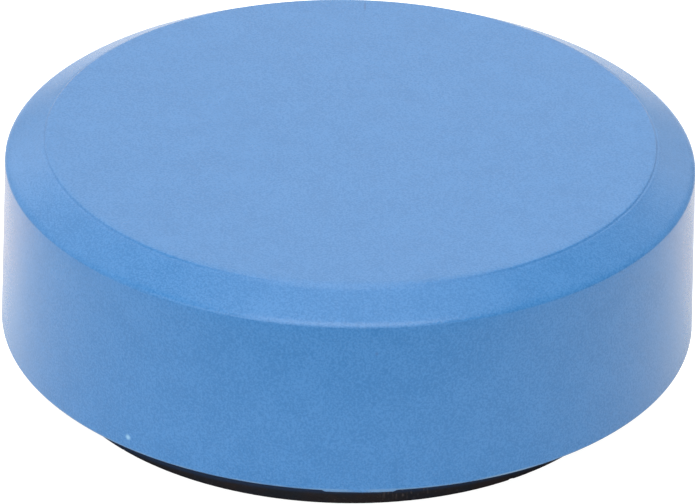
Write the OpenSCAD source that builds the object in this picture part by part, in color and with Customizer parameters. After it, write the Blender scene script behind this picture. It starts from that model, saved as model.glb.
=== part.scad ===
// Round board magnet with a bevelled cap.
// A moulded plastic cap holds a glued-in ferrite disc, which stands a little proud of the
// cap's open rim and is the only face that touches the board.
// The origin is on the cap's axis, in the plane of the board. +Z points away from the board.
// All sizes are in millimetres and all angles in degrees.

/* [Cap outside] */
// Outer diameter at the open rim, the widest part
rim_d = 30; // [29.5:0.5:34]
// Height of the whole magnet above the board
total_h = 10.6; // [10:0.1:13]
// Draft of the side wall
wall_draft = 1.6; // [0.5:0.1:3]
// Angle of the bevel below the level of the top face
bevel_angle = 27.7; // [20:0.1:40]
// Height that the bevel takes off the side wall
bevel_h = 0.93; // [0.6:0.01:1.4]
// Radius where the flat top face runs into the bevel
top_edge_r = 1.2; // [0.2:0.1:1.5]
// Radius of the shoulder, where the bevel meets the side wall
shoulder_r = 0.25; // [0.1:0.05:0.6]
// Radius of the outer edge of the rim
rim_edge_r = 0.12; // [0.05:0.01:0.4]
// Where the fine mould line runs, from the inner (0) to the outer (1) side of that rounded edge
mould_line_at = 0.66; // [0:0.01:1]
// Depth of the mould line, a groove with 45 degree sides
mould_line_depth = 0.04; // [0.02:0.01:0.06]

/* [Cap inside] */
// Gap round the magnet in its pocket
magnet_gap = 0.3; // [0.25:0.05:0.5]
// Thickness of the top wall
top_t = 1.6; // [1.2:0.1:2]
// Width of the ledge that the magnet's edge sits on
ledge_w = 0.7; // [0.4:0.1:1]
// Chamfer round the mouth of the magnet's pocket
mouth_chamfer = 0.3; // [0.1:0.05:0.5]
// Radius between the top wall and the side of the hollow
hollow_r = 0.6; // [0.3:0.1:1]
// Number of radial ribs between the ledge and the hub
rib_count = 8; // [4:1:12]
// Thickness of each rib
rib_t = 0.9; // [0.6:0.1:1.2]
// Outer diameter of the hub ring at the centre
hub_d = 8.4; // [6:0.2:10]
// Thickness of the hub ring's wall
hub_t = 0.9; // [0.6:0.1:1.2]

/* [Magnet] */
// Diameter of the ferrite disc
magnet_d = 25.6; // [22:0.1:26]
// Thickness of the ferrite disc
magnet_t = 5; // [4.6:0.1:6]
// How far the disc stands out below the cap's rim
magnet_proud = 1.93; // [1:0.01:2.3]
// Chamfer round both edges of the disc
magnet_chamfer = 0.05; // [0.05:0.01:0.3]
// How far off the cap's axis the disc was glued, along X
magnet_shift = -0.14; // [-0.25:0.01:0.25]

/* [Adhesive] */
// Depth of the bead below the ledge, in the gap round the disc
bead_depth = 2.2; // [1:0.1:2.5]
// Height of the dab inside the hub ring
dab_h = 1.2; // [0.5:0.1:3]

/* [Hidden] */

$fn = 144;
fuse = 0.2; // how far ribs and hub reach into the walls they grow from

rim_z = magnet_proud;
seat_z = magnet_t;
ceiling_z = total_h - top_t;
shoulder_z = total_h - bevel_h;
shoulder_x = rim_d / 2 - (shoulder_z - rim_z) * tan(wall_draft);
top_x = shoulder_x - bevel_h / tan(bevel_angle);
pocket_x = magnet_d / 2 + magnet_gap;
hollow_x = pocket_x - ledge_w;

function unit(v) = v / norm(v);

// Points of the arc of radius r that rounds the corner b between a and c.
function fillet(a, b, c, r, steps = 6) =
    let (
        u = unit(a - b),
        v = unit(c - b),
        half = acos(u * v) / 2,
        centre = b + unit(u + v) * r / sin(half),
        first = b + u * r / tan(half) - centre,
        last = b + v * r / tan(half) - centre,
        start = atan2(first.y, first.x),
        turn = atan2(last.y, last.x) - start,
        sweep = turn > 180 ? turn - 360 : turn < -180 ? turn + 360 : turn
    )
    [for (i = [0:steps]) centre + r * [cos(start + sweep * i / steps), sin(start + sweep * i / steps)]];

// Outline of half the shell, from the rim up the outside and back down the inside.
function shell_outline() =
    let (
        mouth = [pocket_x + mouth_chamfer, rim_z],
        rim = [rim_d / 2, rim_z],
        shoulder = [shoulder_x, shoulder_z],
        top = [top_x, total_h],
        hollow_top = [hollow_x, ceiling_z],
        ledge = [hollow_x, seat_z]
    )
    concat(
        [mouth],
        fillet(mouth, rim, shoulder, rim_edge_r),
        fillet(rim, shoulder, top, shoulder_r),
        fillet(shoulder, top, [0, total_h], top_edge_r, 8),
        [[0, total_h], [0, ceiling_z]],
        fillet([0, ceiling_z], hollow_top, ledge, hollow_r),
        [ledge, [pocket_x, seat_z], [pocket_x, rim_z + mouth_chamfer]]
    );

// Point on the rounded top edge, with t from 0 at the flat face to 1 at the bevel.
function top_edge_point(t) =
    let (
        start_x = top_x - top_edge_r * tan(bevel_angle / 2),
        slope = t * sin(bevel_angle)
    )
    [start_x + top_edge_r * slope, total_h - top_edge_r * (1 - sqrt(1 - slope ^ 2))];

// Fine V groove that the mould's top insert leaves round the top face.
module mould_line() {
    bottom = top_edge_point(mould_line_at) - [0, mould_line_depth];
    side = 3 * mould_line_depth;
    rotate_extrude()
        polygon([bottom, bottom + [side, side], bottom + [-side, side]]);
}

module ribs() {
    inner = hub_d / 2 - hub_t / 2;
    for (i = [0:rib_count - 1])
        rotate(i * 360 / rib_count)
            translate([inner, -rib_t / 2, seat_z])
                cube([hollow_x + fuse - inner, rib_t, ceiling_z + fuse - seat_z]);
}

module hub() {
    translate([0, 0, seat_z])
        difference() {
            cylinder(d = hub_d, h = ceiling_z + fuse - seat_z);
            translate([0, 0, -1])
                cylinder(d = hub_d - 2 * hub_t, h = ceiling_z - seat_z + 1);
        }
}

module cap() {
    color("#5b9bdc")
        difference() {
            union() {
                rotate_extrude()
                    polygon(shell_outline());
                ribs();
                hub();
            }
            mould_line();
        }
}

module magnet() {
    r = magnet_d / 2;
    c = magnet_chamfer;
    color("#26272b")
        translate([magnet_shift, 0, 0])
            rotate_extrude()
                polygon([
                    [0, 0], [r - c, 0], [r, c],
                    [r, magnet_t - c], [r - c, magnet_t], [0, magnet_t]
                ]);
}

// Bead that fills the gap between the disc and its pocket, thicker on one side
// because the disc sits off centre.
module rim_adhesive() {
    color("#d8d2b4")
        translate([0, 0, seat_z - bead_depth])
            difference() {
                cylinder(r = pocket_x, h = bead_depth);
                translate([magnet_shift, 0, -1])
                    cylinder(d = magnet_d, h = bead_depth + 2);
            }
}

// Dab inside the hub ring that bonds the cap to the middle of the disc.
module hub_adhesive() {
    color("#d8d2b4")
        translate([0, 0, seat_z])
            cylinder(d = hub_d - 2 * hub_t, h = dab_h);
}

cap();
magnet();
rim_adhesive();
hub_adhesive();
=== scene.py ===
"""Round board magnet: a bevelled plastic cap on a glued-in ferrite disc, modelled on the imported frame."""
import math

import bmesh
import bpy
from mathutils import Matrix, Vector, noise


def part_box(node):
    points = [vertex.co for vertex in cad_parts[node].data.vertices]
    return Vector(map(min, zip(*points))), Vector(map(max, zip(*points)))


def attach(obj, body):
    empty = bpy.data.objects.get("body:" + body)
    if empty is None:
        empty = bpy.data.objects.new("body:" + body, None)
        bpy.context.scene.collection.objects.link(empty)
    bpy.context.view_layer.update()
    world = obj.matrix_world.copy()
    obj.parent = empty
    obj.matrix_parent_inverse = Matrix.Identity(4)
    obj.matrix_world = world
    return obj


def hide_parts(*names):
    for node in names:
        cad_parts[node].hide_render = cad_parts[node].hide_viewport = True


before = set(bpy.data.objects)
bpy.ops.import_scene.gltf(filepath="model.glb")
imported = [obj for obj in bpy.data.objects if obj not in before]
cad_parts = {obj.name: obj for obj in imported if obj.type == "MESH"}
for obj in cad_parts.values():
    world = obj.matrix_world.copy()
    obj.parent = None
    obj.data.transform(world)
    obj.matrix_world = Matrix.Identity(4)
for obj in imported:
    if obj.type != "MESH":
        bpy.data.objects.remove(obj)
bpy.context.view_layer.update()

MM = 0.001
# Steps round the axis of the pieces that can be seen, and of those that are hidden.
SEGMENTS, HIDDEN_SEGMENTS = 1080, 144
# An edge sharper than this isn't smoothed.
SHARP_ANGLE = math.radians(35)

# Sizes the frame gives.
cap_low, cap_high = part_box("cap")
disc_low, disc_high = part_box("magnet")
bead_low, bead_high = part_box("rim_adhesive")
dab_low, dab_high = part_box("hub_adhesive")

RIM_Z = cap_low.z
TOP_Z = cap_high.z
SEAT_Z = disc_high.z
DISC_R = (disc_high.y - disc_low.y) / 2
DISC_X = (disc_high.x + disc_low.x) / 2
POCKET_R = bead_high.y
DAB_R = dab_high.y

# Sizes of the cap that its box doesn't give.
RIM_R = 15 * MM
WALL_DRAFT = math.radians(1.6)
BEVEL_ANGLE = math.radians(27.7)
BEVEL_H = 0.93 * MM
TOP_EDGE_R = 1.2 * MM
# The shoulder rolls off over a longer way on the bevel than on the wall.
SHOULDER_ON_BEVEL = 0.36 * MM
SHOULDER_ON_WALL = 0.11 * MM
RIM_EDGE_R = 0.12 * MM
TOP_T = 1.6 * MM
LEDGE_W = 0.7 * MM
MOUTH_CHAMFER = 0.3 * MM
HOLLOW_EDGE_R = 0.6 * MM
RIB_COUNT = 8
RIB_T = 0.9 * MM
HUB_R = 4.2 * MM
HUB_T = 0.9 * MM
# How far ribs and hub ring reach into the walls they grow from, and how far they stop off the disc.
FUSE, RIB_GAP = 0.2 * MM, 0.01 * MM

# What follows from those sizes.
SHOULDER_Z = TOP_Z - BEVEL_H
SHOULDER_R = RIM_R - (SHOULDER_Z - RIM_Z) * math.tan(WALL_DRAFT)
TOP_R = SHOULDER_R - BEVEL_H / math.tan(BEVEL_ANGLE)
CEILING_Z = TOP_Z - TOP_T
HOLLOW_R = POCKET_R - LEDGE_W

# The disc's chamfer, and the chips in its two edges.
DISC_CHAMFER = 0.05 * MM
CHIP_DEPTH, CHIP_REACH = 0.04 * MM, 0.6 * MM
DISC_UNEVENNESS = 0.006 * MM

# The glue bead: how far it bites into what it touches, how its level varies and how far it bulges.
BEAD_BITE, BEAD_LEVEL, BEAD_BULGE = 0.004 * MM, 0.10 * MM, 0.16 * MM
BEAD_STEPS = 10
# How deep the dab's face sags between its middle and the hub ring, and at its middle, over its height.
DAB_SAG, DAB_MIDDLE_SAG = 0.30, 0.12

# The mould line round the top face: how far out it runs on the rounded edge, its radius and its shape.
MOULD_LINE_AT = 0.66
LINE_R = TOP_R - TOP_EDGE_R * math.tan(BEVEL_ANGLE / 2) + TOP_EDGE_R * MOULD_LINE_AT * math.sin(BEVEL_ANGLE)
MOULD_LINE_W = 0.05 * MM
MOULD_LINE_DEPTH = 0.012 * MM
MOULD_LIP_H = 0.012 * MM
# It is deepest at two sides. The face inside it stands a tiny step proud, but not at the front.
LINE_DEEP_SIDE, LINE_OTHER_SIDE = math.radians(-14), math.radians(-156)
LINE_FAINT_SIDE = math.radians(-91)
LINE_STEP, LINE_STEP_W = 0.75, 0.08 * MM
# The low step that the mould left on the front of the rim.
FLASH_FROM, FLASH_TO = math.radians(-93.3), math.radians(-81.5)
FLASH_H = 0.07 * MM
FLASH_RAMP = math.radians(0.34)
# How high above the rim the step and the rim's waviness fade out.
RIM_FADE = 0.25 * MM
WALL_WAVINESS = 0.006 * MM
RIM_WAVINESS = 0.004 * MM

# Marks on the cap, as degrees round from +X and millimetres up, and their half sizes.
DUST_AT, DUST_SIZE = (-126.9, 2.52), 0.1 * MM
SPECK_AT, SPECK_SIZE = (-85.15, 8.4), 0.07 * MM
SCUFF_AT, SCUFF_SIZE = (-62.6, 2.05), 1.3 * MM
RUB_AT, RUB_SIZE = (-91.3, 1.95), 0.7 * MM
STREAK_AT, STREAK_SIZE = (0.5 * MM, 12.4 * MM, TOP_Z), (0.05 * MM, 0.40 * MM, 0.2 * MM)
# The group of nicks in the disc's side.
NICKS_AT, NICKS_SIZE = (2.7 * MM, -12.5 * MM, 0.5 * MM), (1.2 * MM, 0.6 * MM, 0.3 * MM)

# Linear colours of the materials.
CAP_BLUE, CAP_BLUE_LIGHT = (0.0158, 0.138, 0.356, 1), (0.0378, 0.180, 0.428, 1)
# Lighter blue of the rim's lower edge, partly rubbed wear and partly a painted highlight.
RUBBED_AND_HIGHLIGHT_BLUE = (0.13, 0.25, 0.40, 1)
DUST_WHITE = (0.20, 0.40, 0.60, 1)
SPECK_BLUE = (0.03, 0.10, 0.25, 1)
# Darker blue of the painted shade along the mould line.
PAINTED_LINE_SHADE_BLUE = (0.010, 0.075, 0.21, 1)
STREAK_BLUE = (0.014, 0.085, 0.23, 1)
FERRITE_COOL, FERRITE_WARM = (0.0035, 0.0055, 0.0110, 1), (0.0140, 0.0075, 0.0075, 1)
# Blue of the painted reflection of the cap on the disc's side.
FERRITE_PAINTED_CAP_REFLECTION = (0.0060, 0.0220, 0.0600, 1)
FLECK_BROWN = (0.06, 0.045, 0.04, 1)
NICK_GREY = (0.10, 0.078, 0.072, 1)
GLUE_AMBER, GLUE_PALE = (0.56, 0.50, 0.34, 1), (0.68, 0.63, 0.47, 1)
BUBBLE_WHITE = (0.78, 0.76, 0.66, 1)

# The floor sheet: its colours near the magnet and far in front of it, and the dark of its painted shadow
# under the cap.
SHEET_HALF, SHEET_Z = 1.6, -0.02 * MM
SHEET_WHITE = (0.82, 0.82, 0.82, 1)
SHEET_FRONT = (0.46, 0.46, 0.46, 1)
SHEET_PAINTED_SHADOW = (0.15, 0.15, 0.15, 1)
# Its glow to the camera, near and behind, and in mirror reflections, plain and warm.
SHEET_GLOW, SHEET_GLOW_BACK = 0.97, 0.65
SHEET_MIRRORED, SHEET_WARM = 0.11, 0.20
SHEET_WARM_COLOUR = (1, 0.52, 0.16, 1)
SHEET_MIRRORED_LEFT, SHEET_MIRRORED_RIGHT = 1.1, 0.7
# Where each of these changes, as the Y (or X) at which it starts and ends.
FRONT_TURNS_WHITE = (-36 * MM, -22 * MM)
GLOW_FADES = (8 * MM, 22 * MM)
MIRRORED_RISES, MIRRORED_FADES = (-29 * MM, -17 * MM), (13 * MM, 22 * MM)
WARM_RISES = (0, 8 * MM)
MIRRORED_SIDES = (-20 * MM, 20 * MM)
# Where the painted shadow under the cap fades out, by distance from the axis.
PAINTED_SHADOW_EDGE = (RIM_R - 1.5 * MM, RIM_R + 0.5 * MM)

# Strength of the world as light, and as the camera sees it.
WORLD, WORLD_SEEN = 0.59, 1.0
# Name, azimuth and elevation in degrees, distance, width and height in metres, radiance.
SOFTBOXES = [
    ("strip_front", -90, 66, 1.0, 0.3, 0.5, 0.10),
    ("mid_front", -90, 60, 1.0, 0.8, 0.8, 2.22),
    ("zenith", -90, 89.9, 1.0, 0.9, 0.9, 1.08),
    ("over_back", 93.5, 60, 1.0, 0.22, 0.6, 1.95),
    ("back_mid", 90, 40, 1.1, 1.4, 0.4, 0.38),
    ("back", 90, 24, 1.2, 1.6, 0.5, 0.80),
    ("left", 180, 28, 1.0, 0.9, 0.8, 0.43),
    ("left_back", 140, 20, 1.0, 0.7, 0.6, 0.47),
    ("right_back", 40, 20, 1.0, 0.7, 0.6, 0.12),
    ("left_back_high", 134, 48, 1.0, 0.6, 0.45, 0.77),
    ("right_back_high", 47, 45, 1.0, 0.6, 0.45, 0.33),
    ("front_low", -90, 15, 1.0, 1.2, 0.5, 1.50),
    ("front_left", -135, 32, 1.0, 0.7, 0.7, 1.22),
]


# ---------------------------------------------------------------- camera, floor and light

def make_camera():
    """A long lens from 29 degrees above the floor, turned a little about its own axis."""
    elevation, roll = 0.50686, 0.02234
    distance, shift_x, shift_y = 250.2 * MM, 0.034 * MM, -4.295 * MM
    back = Vector((0, -math.cos(elevation), math.sin(elevation)))
    right = Vector((1, 0, 0))
    up = back.cross(right)
    cam_x = right * math.cos(roll) + up * math.sin(roll)
    cam_y = up * math.cos(roll) - right * math.sin(roll)
    data = bpy.data.cameras.new("camera")
    data.sensor_width = 36
    data.lens = 296.8
    data.clip_start, data.clip_end = 0.01, 20
    camera = bpy.data.objects.new("camera", data)
    bpy.context.scene.collection.objects.link(camera)
    place = back * distance - right * shift_x - up * shift_y
    turn = Matrix((cam_x, cam_y, back)).transposed().to_4x4()
    camera.matrix_world = Matrix.Translation(place) @ turn
    bpy.context.scene.camera = camera


def floor_white():
    """Material of the pale sheet. It glows white to the camera, and only faintly in mirror reflections."""
    s = Shader("floor_white")
    x, y = s.along("X"), s.along("Y")
    sheet = s.mix(s.ramp(y, *FRONT_TURNS_WHITE), SHEET_FRONT, SHEET_WHITE)
    # Under the cap the sheet is painted dark, a painted shadow; the camera's glow hides it.
    s.set("Base Color", s.mix(s.ramp(s.radius(), *PAINTED_SHADOW_EDGE), SHEET_PAINTED_SHADOW, sheet))
    s.surface.inputs["Roughness"].default_value = 0.9
    seen = s.node("LightPath").outputs["Is Camera Ray"]
    mirrored = s.node("LightPath").outputs["Is Glossy Ray"]
    flank = s.ramp(y, *WARM_RISES)
    plain, warm = s.ramp(y, *MIRRORED_RISES, 0.0, SHEET_MIRRORED), s.math("MULTIPLY", flank, SHEET_WARM)
    share = s.math("MULTIPLY", s.ramp(y, *MIRRORED_FADES, 1.0, 0.0),
                   s.ramp(x, *MIRRORED_SIDES, SHEET_MIRRORED_LEFT, SHEET_MIRRORED_RIGHT))
    seen_glow = s.math("MULTIPLY", seen, s.ramp(y, *GLOW_FADES, SHEET_GLOW, SHEET_GLOW_BACK))
    mirrored_glow = s.math("MULTIPLY", mirrored, s.math("MULTIPLY", s.math("ADD", plain, warm), share))
    s.set("Emission Color", s.mix(s.math("MULTIPLY", mirrored, flank), (1, 1, 1, 1), SHEET_WARM_COLOUR))
    s.set("Emission Strength", s.math("ADD", seen_glow, mirrored_glow))
    return s.material


def make_floor():
    mesh = bpy.data.meshes.new("floor")
    corners = [(-1, -1), (1, -1), (1, 1), (-1, 1)]
    mesh.from_pydata([(x * SHEET_HALF, y * SHEET_HALF, SHEET_Z) for x, y in corners], [], [(0, 1, 2, 3)])
    mesh.materials.append(floor_white())
    floor = bpy.data.objects.new("floor", mesh)
    bpy.context.scene.collection.objects.link(floor)


def make_softbox(name, azimuth, elevation, distance, width, height, radiance):
    """A rectangular light that faces the object. Azimuth is round from +X, elevation up from the floor."""
    a, e = math.radians(azimuth), math.radians(elevation)
    way = Vector((math.cos(a) * math.cos(e), math.sin(a) * math.cos(e), math.sin(e)))
    data = bpy.data.lights.new(name, "AREA")
    data.shape = "RECTANGLE"
    data.size, data.size_y = width, height
    data.energy = radiance * math.pi * width * height
    light = bpy.data.objects.new(name, data)
    bpy.context.scene.collection.objects.link(light)
    turn = way.to_track_quat("Z", "Y").to_matrix().to_4x4()
    light.matrix_world = Matrix.Translation(way * distance) @ turn


def make_light():
    """An even white world, stronger to the camera than as light, and the softboxes."""
    scene = bpy.context.scene
    scene.view_settings.view_transform = "Standard"
    world = bpy.data.worlds.new("studio")
    world.use_nodes = True
    tree = world.node_tree
    tree.nodes["Background"].inputs["Color"].default_value = (1, 1, 1, 1)
    strength = tree.nodes.new("ShaderNodeMapRange")
    strength.inputs["To Min"].default_value = WORLD
    strength.inputs["To Max"].default_value = WORLD_SEEN
    seen = tree.nodes.new("ShaderNodeLightPath").outputs["Is Camera Ray"]
    tree.links.new(seen, strength.inputs["Value"])
    tree.links.new(strength.outputs["Result"], tree.nodes["Background"].inputs["Strength"])
    scene.world = world
    for box in SOFTBOXES:
        make_softbox(*box)


# ---------------------------------------------------------------- mesh helpers

def fillet(a, b, c, radius, steps):
    """Points of the arc that rounds the corner b between a and c, in the plane of the outline."""
    u, v = (a - b).normalized(), (c - b).normalized()
    half = u.angle(v) / 2
    centre = b + (u + v).normalized() * (radius / math.sin(half))
    first = b + u * (radius / math.tan(half)) - centre
    last = b + v * (radius / math.tan(half)) - centre
    start = math.atan2(first.y, first.x)
    turn = (math.atan2(last.y, last.x) - start + math.pi) % math.tau - math.pi
    angles = [start + turn * i / steps for i in range(steps + 1)]
    return [centre + Vector((math.cos(t), math.sin(t))) * radius for t in angles]


def roll_off(a, b, c, before, after, steps):
    """Points of the curve that rounds the corner b, starting before it towards a and ending after it."""
    first = b + (a - b).normalized() * before
    last = b + (c - b).normalized() * after
    return [first.lerp(b, i / steps).lerp(b.lerp(last, i / steps), i / steps) for i in range(steps + 1)]


def between(a, b, steps):
    """Points inside the line from a to b, without its ends."""
    return [a.lerp(b, i / steps) for i in range(1, steps)]


def revolve(name, outline, move=None, closed=True, segments=SEGMENTS):
    """Turns an outline of (radius, height) points round the Z axis. A point at radius 0 is a pole.

    move(radius, height, angle) may return a changed radius and height for one vertex.
    """
    verts, rings = [], []
    for p in outline:
        if p.x < 1e-9:
            rings.append([len(verts)] * segments)
            verts.append((0, 0, p.y))
            continue
        rings.append(list(range(len(verts), len(verts) + segments)))
        for i in range(segments):
            a = math.tau * i / segments
            r, z = move(p.x, p.y, a) if move else (p.x, p.y)
            verts.append((r * math.cos(a), r * math.sin(a), z))
    faces = []
    count = len(rings) if closed else len(rings) - 1
    for k in range(count):
        low, high = rings[k], rings[(k + 1) % len(rings)]
        for i in range(segments):
            j = (i + 1) % segments
            face = [low[i], low[j], high[j], high[i]]
            face = [v for n, v in enumerate(face) if v != face[n - 1]]
            if len(face) > 2:
                faces.append(face)
    mesh = bpy.data.meshes.new(name)
    mesh.from_pydata(verts, [], faces)
    mesh.validate()
    return mesh


def face_out(mesh):
    """Turns every face of a closed mesh outwards."""
    bm = bmesh.new()
    bm.from_mesh(mesh)
    bmesh.ops.recalc_face_normals(bm, faces=bm.faces)
    bm.to_mesh(mesh)
    bm.free()


def finish_piece(name, mesh, material, node):
    """Makes the mesh a visible piece that stands for one node of the frame."""
    face_out(mesh)
    mesh.shade_smooth()
    mesh.set_sharp_from_angle(angle=SHARP_ANGLE)
    piece = bpy.data.objects.new(name, mesh)
    bpy.context.scene.collection.objects.link(piece)
    mesh.materials.clear()
    mesh.materials.append(material)
    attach(piece, "root")
    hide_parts(node)
    return piece


def wave(angle, seed):
    """Smooth value from about -1 to 1 that closes on itself round a circle."""
    return noise.fractal(Vector((math.cos(angle), math.sin(angle), seed)), 1.0, 2.0, 3)


# ---------------------------------------------------------------- cap

def cap_outline():
    """Closed outline of the shell, from the axis out over the top, down the wall and back inside."""
    centre, top = Vector((0, TOP_Z)), Vector((TOP_R, TOP_Z))
    shoulder = Vector((SHOULDER_R, SHOULDER_Z))
    rim = Vector((RIM_R, RIM_Z))
    mouth = Vector((POCKET_R + MOUTH_CHAMFER, RIM_Z))
    pocket = Vector((POCKET_R, RIM_Z + MOUTH_CHAMFER))
    seat = Vector((POCKET_R, SEAT_Z))
    ledge = Vector((HOLLOW_R, SEAT_Z))
    hollow_top, ceiling = Vector((HOLLOW_R, CEILING_Z)), Vector((0, CEILING_Z))
    top_arc = fillet(centre, top, shoulder, TOP_EDGE_R, 26)
    shoulder_arc = roll_off(top, shoulder, rim, SHOULDER_ON_BEVEL, SHOULDER_ON_WALL, 16)
    rim_arc = fillet(shoulder, rim, mouth, RIM_EDGE_R, 10)
    hollow_arc = fillet(ledge, hollow_top, ceiling, HOLLOW_EDGE_R, 5)
    return [
        centre, *between(centre, top_arc[0], 6),
        *top_arc, *between(top_arc[-1], shoulder_arc[0], 4),
        *shoulder_arc, *between(shoulder_arc[-1], rim_arc[0], 14),
        *rim_arc, mouth, pocket, seat, ledge,
        *hollow_arc, ceiling,
    ]


def near_side(angle, side, sharpness):
    """1 at one side of the cap, falling to 0 away from it, faster with more sharpness."""
    return (0.5 + 0.5 * math.cos(angle - side)) ** sharpness


def add_mould_line(radius, height, angle):
    """Height of the rounded top edge with the mould line in it, and the tiny step and lip beside it."""
    inside = min(1.0, max(0.0, 0.5 + (LINE_R - radius) / LINE_STEP_W))
    height += (TOP_Z - height) * LINE_STEP * inside * (1 - near_side(angle, LINE_FAINT_SIDE, 20))
    right = near_side(angle, LINE_DEEP_SIDE, 4)
    left = near_side(angle, LINE_OTHER_SIDE, 12)
    depth = 0.08 + 0.92 * right + 0.75 * left
    offset = (radius - LINE_R) / MOULD_LINE_W
    lip = offset - 2
    if offset > 0:
        offset /= 3 - 2 * max(right, left) ** 2
    height -= MOULD_LINE_DEPTH * depth * math.exp(-offset * offset)
    return height + MOULD_LIP_H * right ** 5 * math.exp(-lip * lip)


def shape_cap(radius, height, angle):
    """Adds what the mould left: the line round the top, a low step on the rim and a faint waviness."""
    a = (angle + math.pi) % math.tau - math.pi
    if height > SHOULDER_Z and radius > LINE_R - 0.5 * MM:
        height = add_mould_line(radius, height, a)
    if radius > POCKET_R + 1.0 * MM:
        radius += WALL_WAVINESS * wave(angle, 3.1)
        low = max(0.0, 1 - (height - RIM_Z) / RIM_FADE)
        up = min(1.0, max(0.0, (a - FLASH_FROM) / FLASH_RAMP))
        down = min(1.0, max(0.0, (FLASH_TO - a) / FLASH_RAMP))
        ragged = 1 + 0.25 * wave(angle * 9, 5.0)
        height -= low * (FLASH_H * up * down * ragged + RIM_WAVINESS * wave(angle * 4, 8.0))
    return radius, height


def make_ribs():
    """The radial ribs of the hollow as one mesh, to be joined to the shell."""
    bm = bmesh.new()
    inner = HUB_R - HUB_T / 2
    outer = HOLLOW_R + FUSE
    low, high = SEAT_Z + RIB_GAP, CEILING_Z + FUSE
    for i in range(RIB_COUNT):
        size = Vector((outer - inner, RIB_T, high - low))
        middle = Vector(((outer + inner) / 2, 0, (high + low) / 2))
        place = Matrix.Rotation(math.tau * i / RIB_COUNT, 4, "Z") @ Matrix.Translation(middle)
        bmesh.ops.create_cube(bm, size=1, matrix=place @ Matrix.Diagonal(size).to_4x4())
    mesh = bpy.data.meshes.new("ribs")
    bm.to_mesh(mesh)
    bm.free()
    return mesh


def join_solids(mesh, others):
    """Returns the union of closed meshes."""
    main = bpy.data.objects.new("union", mesh)
    bpy.context.scene.collection.objects.link(main)
    tools = []
    for other in others:
        tool = bpy.data.objects.new("tool", other)
        bpy.context.scene.collection.objects.link(tool)
        step = main.modifiers.new("join", "BOOLEAN")
        step.operation, step.solver, step.object = "UNION", "MANIFOLD", tool
        tools.append(tool)
    graph = bpy.context.evaluated_depsgraph_get()
    made = bpy.data.meshes.new_from_object(main.evaluated_get(graph))
    for obj in [main, *tools]:
        bpy.data.objects.remove(obj)
    return made


def make_hub():
    """The hub ring of the hollow, to be joined to the shell."""
    low, high = SEAT_Z + RIB_GAP, CEILING_Z + FUSE
    corners = [(HUB_R - HUB_T, low), (HUB_R, low), (HUB_R, high), (HUB_R - HUB_T, high)]
    return revolve("hub", [Vector(c) for c in corners], segments=HIDDEN_SEGMENTS)


def make_cap(material):
    shell = revolve("cap", cap_outline(), shape_cap, closed=False)
    hub, ribs = make_hub(), make_ribs()
    for mesh in (shell, hub, ribs):
        face_out(mesh)
    whole = join_solids(shell, [hub, ribs])
    whole.name = "cap_shell"
    return finish_piece("cap_shell", whole, material, "cap")


# ---------------------------------------------------------------- ferrite disc

def shape_disc(radius, height, angle):
    """Chips the two sharp edges of the disc and gives its side a pressed, slightly uneven face."""
    edge = min(abs(height), abs(height - SEAT_Z))
    if radius > DISC_R - 0.5 * MM and edge < CHIP_REACH:
        side = 11.0 if height < SEAT_Z / 2 else 37.0
        chip = noise.fractal(Vector((math.cos(angle) * 22, math.sin(angle) * 22, side)), 1.0, 2.0, 3)
        radius -= min(CHIP_DEPTH, max(0.0, chip - 0.55) * 0.3 * MM) * (1 - edge / CHIP_REACH)
    if radius > DISC_R - 0.05 * MM:
        spot = Vector((math.cos(angle) * 60, math.sin(angle) * 60, height * 4000))
        radius += DISC_UNEVENNESS * noise.noise(spot)
    return radius, height


def make_disc(material):
    c = DISC_CHAMFER
    foot, wall_low = Vector((DISC_R - c, 0)), Vector((DISC_R, c))
    wall_high, shelf = Vector((DISC_R, SEAT_Z - c)), Vector((DISC_R - c, SEAT_Z))
    centre, top = Vector((0, 0)), Vector((0, SEAT_Z))
    near_foot, near_shelf = Vector((DISC_R - CHIP_REACH, 0)), Vector((DISC_R - CHIP_REACH, SEAT_Z))
    outline = [
        centre, *between(centre, near_foot, 4), near_foot, *between(near_foot, foot, 5), foot,
        *between(foot, wall_low, 3), wall_low, *between(wall_low, wall_high, 40), wall_high,
        *between(wall_high, shelf, 3), shelf, *between(shelf, near_shelf, 5), near_shelf,
        *between(near_shelf, top, 4), top,
    ]
    mesh = revolve("ferrite_disc", outline, shape_disc, closed=False)
    mesh.transform(Matrix.Translation((DISC_X, 0, 0)))
    return finish_piece("ferrite_disc", mesh, material, "magnet")


# ---------------------------------------------------------------- adhesive

def make_bead(material):
    """Bead in the gap round the disc, which is wider on the side that the disc was glued away from."""
    verts, faces = [], []
    for i in range(SEGMENTS):
        a = math.tau * i / SEGMENTS
        inner = DISC_X * math.cos(a) + math.sqrt(DISC_R ** 2 - (DISC_X * math.sin(a)) ** 2) - BEAD_BITE
        outer = POCKET_R + BEAD_BITE
        gap = outer - inner
        level = bead_low.z + BEAD_LEVEL * (1 + wave(a, 2.0))
        for k in range(BEAD_STEPS + 1):
            t = k / BEAD_STEPS
            creep = (2 * t - 1) ** 2
            z = level + min(0.35 * gap, BEAD_BULGE) * (1 - creep)
            r = inner + gap * t
            verts.append((r * math.cos(a), r * math.sin(a), z))
        verts.append((outer * math.cos(a), outer * math.sin(a), bead_high.z))
        verts.append((inner * math.cos(a), inner * math.sin(a), bead_high.z))
    ring = BEAD_STEPS + 3
    for i in range(SEGMENTS):
        j = (i + 1) % SEGMENTS
        for k in range(ring):
            n = (k + 1) % ring
            faces.append((i * ring + k, j * ring + k, j * ring + n, i * ring + n))
    mesh = bpy.data.meshes.new("rim_glue_bead")
    mesh.from_pydata(verts, [], faces)
    return finish_piece("rim_glue_bead", mesh, material, "rim_adhesive")


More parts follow.
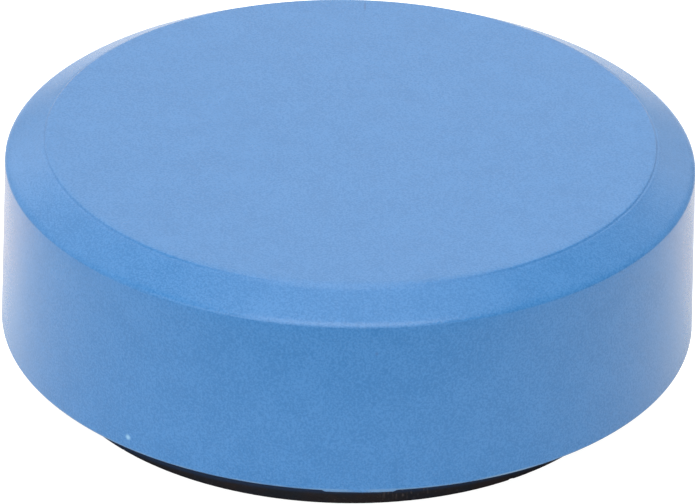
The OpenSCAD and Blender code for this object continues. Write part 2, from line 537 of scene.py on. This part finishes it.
def make_dab(material):
    """Dab inside the hub ring. Its face sags between the middle and the ring, which it wets."""
    low, high = dab_low.z, dab_high.z
    outline = [Vector((0, low)), Vector((DAB_R * 0.5, low)), Vector((DAB_R, low))]
    outline += [Vector((DAB_R, low + (high - low) * t)) for t in (0.55, 0.8, 1.0)]
    for t in (0.97, 0.92, 0.85, 0.75, 0.6, 0.45, 0.3, 0.15):
        sag = DAB_SAG * (1 - ((t - 0.55) / 0.45) ** 2)
        outline.append(Vector((DAB_R * t, high - (high - low) * max(0.0, sag))))
    outline.append(Vector((0, high - DAB_MIDDLE_SAG * (high - low))))
    mesh = revolve("hub_glue_dab", outline, closed=False, segments=HIDDEN_SEGMENTS)
    return finish_piece("hub_glue_dab", mesh, material, "hub_adhesive")


# ---------------------------------------------------------------- materials

class Shader:
    """Short names for building one material out of procedural nodes."""

    def __init__(self, name):
        self.material = bpy.data.materials.new(name)
        self.material.use_nodes = True
        self.tree = self.material.node_tree
        self.surface = self.tree.nodes["Principled BSDF"]
        self.place = self.node("TexCoord").outputs["Object"]

    def node(self, kind, inputs=None, **settings):
        node = self.tree.nodes.new("ShaderNode" + kind)
        for key, value in settings.items():
            setattr(node, key, value)
        for key, value in (inputs or {}).items():
            self.put(node.inputs[key], value)
        return node

    def put(self, socket, value):
        if isinstance(value, bpy.types.NodeSocket):
            self.tree.links.new(value, socket)
        else:
            socket.default_value = value

    def set(self, name, value):
        self.put(self.surface.inputs[name], value)

    def noise(self, size, detail=2.0, rough=0.5, offset=0.0, stretch=(1, 1, 1)):
        """Noise from 0 to 1 whose blotches are about size metres across."""
        moved = self.node("Mapping", {
            "Vector": self.place, "Location": (offset, offset, offset), "Scale": stretch,
        })
        return self.node("TexNoise", {
            "Vector": moved.outputs[0], "Scale": 1 / size, "Detail": detail, "Roughness": rough,
        }).outputs["Fac"]

    def math(self, operation, a, b=0.0):
        return self.node("Math", {0: a, 1: b}, operation=operation).outputs[0]

    def vector(self, operation, a, b):
        return self.node("VectorMath", {0: a, 1: b}, operation=operation).outputs["Vector"]

    def ramp(self, value, low, high, to_low=0.0, to_high=1.0):
        """Maps low..high to to_low..to_high with soft ends."""
        return self.node("MapRange", {
            "Value": value, "From Min": low, "From Max": high, "To Min": to_low, "To Max": to_high,
        }, interpolation_type="SMOOTHSTEP").outputs[0]

    def mix(self, factor, a, b):
        node = self.node("Mix", data_type="RGBA")
        self.put(node.inputs["Factor"], factor)
        self.put(node.inputs["A"], a)
        self.put(node.inputs["B"], b)
        return node.outputs["Result"]

    def mark(self, point, size, soft=0.5):
        """1 inside an ellipsoid of half sizes size round a point, falling to 0.

        One number as the size makes it a ball.
        """
        size = size if isinstance(size, tuple) else (size, size, size)
        scaled = self.vector("DIVIDE", self.vector("SUBTRACT", self.place, point), size)
        length = self.node("VectorMath", {0: scaled}, operation="LENGTH").outputs["Value"]
        return self.ramp(length, 1 - soft, 1 + soft, 1.0, 0.0)

    def radius(self):
        """Distance from the Z axis."""
        flat = self.vector("MULTIPLY", self.place, (1, 1, 0))
        return self.node("VectorMath", {0: flat}, operation="LENGTH").outputs["Value"]

    def along(self, axis):
        """The X, Y or Z coordinate, by its letter."""
        return self.node("SeparateXYZ", {0: self.place}).outputs[axis]

    def bump(self, height, depth, after=None):
        inputs = {"Height": height, "Distance": depth, "Strength": 1.0}
        if after is not None:
            inputs["Normal"] = after
        return self.node("Bump", inputs).outputs["Normal"]


def wall_point(azimuth, height):
    """A point on the outside of the cap's wall, from degrees round and millimetres up."""
    a = math.radians(azimuth)
    r = RIM_R - (height * MM - RIM_Z) * math.tan(WALL_DRAFT)
    return (r * math.cos(a), r * math.sin(a), height * MM)


def worn_and_highlit_rim(s):
    """Mask of the lighter outer edge of the rim, partly rubbed wear and partly a painted highlight, broken
    up along its length.
    """
    low = s.ramp(s.along("Z"), RIM_Z + 0.08 * MM, RIM_Z + 0.16 * MM, 1.0, 0.0)
    outer = s.ramp(s.radius(), RIM_R - 0.14 * MM, RIM_R - 0.06 * MM)
    broken = s.ramp(s.noise(1.3 * MM, detail=3.0, offset=0.07), 0.40, 0.65, 0.1, 0.55)
    scuff = s.mark(wall_point(*SCUFF_AT), SCUFF_SIZE, soft=0.6)
    rub = s.math("MULTIPLY", s.mark(wall_point(*RUB_AT), RUB_SIZE), 0.5)
    wear_and_highlight = s.math("MAXIMUM", broken, s.math("MAXIMUM", scuff, rub))
    return s.math("MULTIPLY", s.math("MULTIPLY", low, outer), wear_and_highlight)


def painted_line_shade(s):
    """Mask of the painted shade along the mould line, a slight darkening. There is none at the front."""
    away = s.math("ABSOLUTE", s.math("SUBTRACT", s.radius(), LINE_R))
    narrow = s.ramp(away, 0.01 * MM, 0.06 * MM, 1.0, 0.0)
    high = s.ramp(s.along("Z"), TOP_Z - 0.2 * MM, TOP_Z - 0.15 * MM)
    from_front = s.math("ADD", s.along("Y"), s.math("MULTIPLY", s.along("X"), 0.237))
    strength = s.ramp(from_front, -12.2 * MM, -10.5 * MM, 0.0, 0.12)
    return s.math("MULTIPLY", s.math("MULTIPLY", narrow, high), strength)


def cap_colour(s, grain, mottle):
    """Fine-grained blue with the rim's lighter edge, partly rubbed wear and partly a painted highlight, the
    painted shade along the mould line and the few small marks of the cap.
    """
    tone = s.math("ADD", s.math("MULTIPLY", grain, 0.75), s.math("MULTIPLY", mottle, 0.25))
    colour = s.mix(s.ramp(tone, 0.35, 0.65), CAP_BLUE, CAP_BLUE_LIGHT)
    # The rim's lighter edge: partly rubbed wear, partly a painted highlight.
    colour = s.mix(worn_and_highlit_rim(s), colour, RUBBED_AND_HIGHLIGHT_BLUE)
    colour = s.mix(s.mark(wall_point(*DUST_AT), DUST_SIZE, soft=0.8), colour, DUST_WHITE)
    speck = s.math("MULTIPLY", s.mark(wall_point(*SPECK_AT), SPECK_SIZE), 0.5)
    colour = s.mix(speck, colour, SPECK_BLUE)
    # Painted shade along the mould line.
    colour = s.mix(painted_line_shade(s), colour, PAINTED_LINE_SHADE_BLUE)
    streak = s.math("MULTIPLY", s.mark(STREAK_AT, STREAK_SIZE), 0.6)
    return s.mix(streak, colour, STREAK_BLUE)


def cap_plastic():
    s = Shader("cap_plastic_satin_blue")
    grain = s.noise(0.085 * MM, detail=1.0)
    mottle = s.noise(1.6 * MM, detail=3.0, offset=0.01)
    clouds = s.noise(9 * MM, detail=2.0, offset=0.03)
    s.set("Base Color", cap_colour(s, grain, mottle))
    rough = s.math("ADD", s.ramp(mottle, 0.3, 0.7, 0.235, 0.265), s.ramp(clouds, 0.3, 0.7, -0.01, 0.01))
    s.set("Roughness", rough)
    s.surface.inputs["IOR"].default_value = 1.55
    s.set("Normal", s.bump(mottle, 0.004 * MM, s.bump(grain, 0.010 * MM)))
    return s.material


def painted_cap_reflection(s):
    """Mask of the painted blue reflection of the cap on the disc's side, which shows just below the cap
    from the front.

    It sinks towards the sides, as the cap's edge does in that view.
    """
    z = s.along("Z")
    level = s.math("ADD", z, s.math("MULTIPLY", s.math("ADD", s.along("Y"), 6 * MM), 0.104))
    rise = s.ramp(level, -0.29 * MM, -0.12 * MM)
    fade = s.ramp(level, 0.05 * MM, 0.6 * MM, 1.0, 0.1)
    outer = s.ramp(s.radius(), DISC_R - 0.5 * MM, DISC_R - 0.25 * MM)
    on_side = s.math("MULTIPLY", outer, s.ramp(z, 0, 0.06 * MM))
    return s.math("MULTIPLY", s.math("MULTIPLY", rise, fade), on_side)


def ferrite():
    """Dark sintered material in faint patches, with the painted blue reflection of the cap near its top
    edge, flecks and a group of pale nicks.
    """
    s = Shader("ferrite_dark_grey")
    grain = s.noise(0.12 * MM, detail=4.0, rough=0.65)
    patches = s.noise(1.4 * MM, detail=4.0, offset=0.02)
    colour = s.mix(s.ramp(patches, 0.35, 0.65), FERRITE_COOL, FERRITE_WARM)
    # Painted blue reflection of the cap on the disc's side, just below the cap.
    colour = s.mix(painted_cap_reflection(s), colour, FERRITE_PAINTED_CAP_REFLECTION)
    fleck = s.ramp(s.noise(0.09 * MM, detail=0.0, offset=0.05), 0.74, 0.82)
    colour = s.mix(s.math("MULTIPLY", fleck, 0.5), colour, FLECK_BROWN)
    nicks = s.ramp(s.noise(0.12 * MM, detail=1.0, offset=0.06, stretch=(1, 1, 0.3)), 0.56, 0.70)
    nicks = s.math("MULTIPLY", nicks, s.mark(NICKS_AT, NICKS_SIZE, soft=0.6))
    s.set("Base Color", s.mix(s.math("MULTIPLY", nicks, 0.6), colour, NICK_GREY))
    s.set("Roughness", s.ramp(grain, 0.3, 0.7, 0.5, 0.68))
    s.surface.inputs["Specular IOR Level"].default_value = 0.35
    s.set("Normal", s.bump(grain, 0.012 * MM))
    return s.material


def adhesive():
    """Cloudy amber glue with small bubbles."""
    s = Shader("adhesive_amber")
    clouds = s.noise(1.1 * MM, detail=3.0)
    bubbles = s.ramp(s.noise(0.20 * MM, detail=0.0, offset=0.04), 0.66, 0.74)
    s.set("Base Color", s.mix(bubbles, s.mix(clouds, GLUE_AMBER, GLUE_PALE), BUBBLE_WHITE))
    s.set("Roughness", s.ramp(clouds, 0.3, 0.7, 0.12, 0.28))
    s.surface.inputs["Subsurface Weight"].default_value = 0.3
    s.surface.inputs["Subsurface Scale"].default_value = 0.4 * MM
    s.set("Normal", s.bump(bubbles, 0.01 * MM, s.bump(clouds, 0.03 * MM)))
    return s.material


# ---------------------------------------------------------------- build

make_camera()
make_floor()
make_light()

glue = adhesive()
make_cap(cap_plastic())
make_disc(ferrite())
make_bead(glue)
make_dab(glue)
